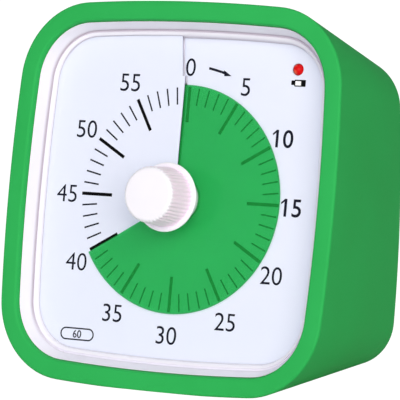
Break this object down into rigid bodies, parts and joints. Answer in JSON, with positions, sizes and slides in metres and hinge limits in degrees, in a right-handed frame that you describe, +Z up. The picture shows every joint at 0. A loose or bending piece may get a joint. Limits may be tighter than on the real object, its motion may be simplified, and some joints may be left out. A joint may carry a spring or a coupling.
{
  "type": "visual countdown timer",
  "caption": "Standing countdown timer: a soft sleeve round a white case, a slit minute dial with a coloured disc, and a fluted centre knob.",
  "frame": {"origin": "middle of the flat underside that the timer stands on", "axes": "+Z up, +X to the right as one faces the dial, +Y from the dial to the rear"},
  "size_m": [0.0948, 0.0668, 0.0966],
  "materials": {
    "sleeve_silicone": "matte moulded silicone rubber",
    "white_abs": "satin injection-moulded plastic",
    "dial_pvc": "smooth printed sheet",
    "disc_film": "smooth translucent film",
    "knob_plastic": "satin moulded plastic",
    "steel": "bright plated",
    "dark_steel": "blackened",
    "brass": "turned",
    "movement_plastic": "moulded",
    "core_steel": "stamped",
    "black_plastic": "moulded",
    "copper_wire": "enamelled wire",
    "magnet": "sintered",
    "gear_plastic": "moulded acetal",
    "gear_yellow": "moulded acetal",
    "board_laminate": "solder mask over glass laminate",
    "blue_film": "shrunk film",
    "led_red": "cast tinted epoxy",
    "cone_paper": "pressed",
    "slider_plastic": "moulded",
    "cell_can": "plain printed wrap",
    "lead_pvc": "extruded insulation"
  },
  "bodies": {
    "case": {"silicone_case": "sleeve_silicone", "front_shell": "white_abs", "rear_cover": "white_abs", "dial_plate": "white_abs", "dial_sheet": "dial_pvc", "shaft_bush": "brass", "movement_front_plate": "movement_plastic", "movement_rear_cover": "movement_plastic", "movement_screws": "steel", "stator": "core_steel", "coil_bobbin": "black_plastic", "coil_core": "core_steel", "coil_winding": "copper_wire", "circuit_board": "board_laminate", "control_chip": "black_plastic", "quartz_crystal": "steel", "capacitor": "blue_film", "low_battery_led": "led_red", "board_screws": "steel", "speaker_frame": "black_plastic", "speaker_magnet": "magnet", "speaker_cone": "cone_paper", "volume_switch": "black_plastic", "battery_cell": "cell_can", "battery_spring": "steel", "battery_contact": "brass", "case_screws": "steel", "battery_leads": "lead_pvc", "speaker_leads": "lead_pvc"},
    "dial_drive": {"knob": "knob_plastic", "disc_hub": "knob_plastic", "knob_shaft": "steel", "clutch_spring": "steel", "shaft_clip": "dark_steel"},
    "disc": {"time_disc": "disc_film"},
    "drive_gear": {"drive_wheel": "gear_yellow"},
    "third_gear": {"third_wheel": "gear_plastic"},
    "second_gear": {"second_wheel": "gear_plastic"},
    "rotor": {"rotor_magnet": "magnet", "rotor_pinion": "gear_plastic"},
    "volume_knob": {"volume_slider": "slider_plastic"},
    "door": {"battery_door": "white_abs"}
  },
  "joints": [
    {"name": "knob_turn", "type": "hinge", "parent": "case", "child": "dial_drive", "pos_m": [0, -0.02202, 0.04801], "axis": [0, 0.9838, -0.1793], "range_deg": [-240, 120]},
    {"name": "disc_climb", "type": "slide", "parent": "dial_drive", "child": "disc", "axis": [0, -0.9838, 0.1793], "range_m": [-0.00068, 0.00034]},
    {"name": "rotor_spin", "type": "hinge", "parent": "case", "child": "rotor", "pos_m": [0.00245, -0.02446, 0.03465], "axis": [0, 0.9838, -0.1793], "continuous": true},
    {"name": "second_spin", "type": "hinge", "parent": "case", "child": "second_gear", "pos_m": [-0.00575, -0.0243, 0.0355], "axis": [0, 0.9838, -0.1793], "continuous": true},
    {"name": "third_spin", "type": "hinge", "parent": "case", "child": "third_gear", "pos_m": [-0.01228, -0.023, 0.04263], "axis": [0, 0.9838, -0.1793], "continuous": true},
    {"name": "drive_spin", "type": "hinge", "parent": "case", "child": "drive_gear", "pos_m": [0, -0.02202, 0.04801], "axis": [0, 0.9838, -0.1793], "continuous": true},
    {"name": "volume_slide", "type": "slide", "parent": "case", "child": "volume_knob", "axis": [1, 0, 0], "range_m": [-0.002, 0.002]},
    {"name": "door_lift", "type": "slide", "parent": "case", "child": "door", "axis": [0, 0.9986, -0.052], "range_m": [0, 0.02]}
  ],
  "couplings": [
    {"joint": "disc_climb", "follows": "knob_turn", "m_per_rad": 0.00015915},
    {"joint": "second_spin", "follows": "rotor_spin", "ratio": -0.1},
    {"joint": "third_spin", "follows": "rotor_spin", "ratio": 0.0083333},
    {"joint": "drive_spin", "follows": "rotor_spin", "ratio": -0.00055556}
  ]
}
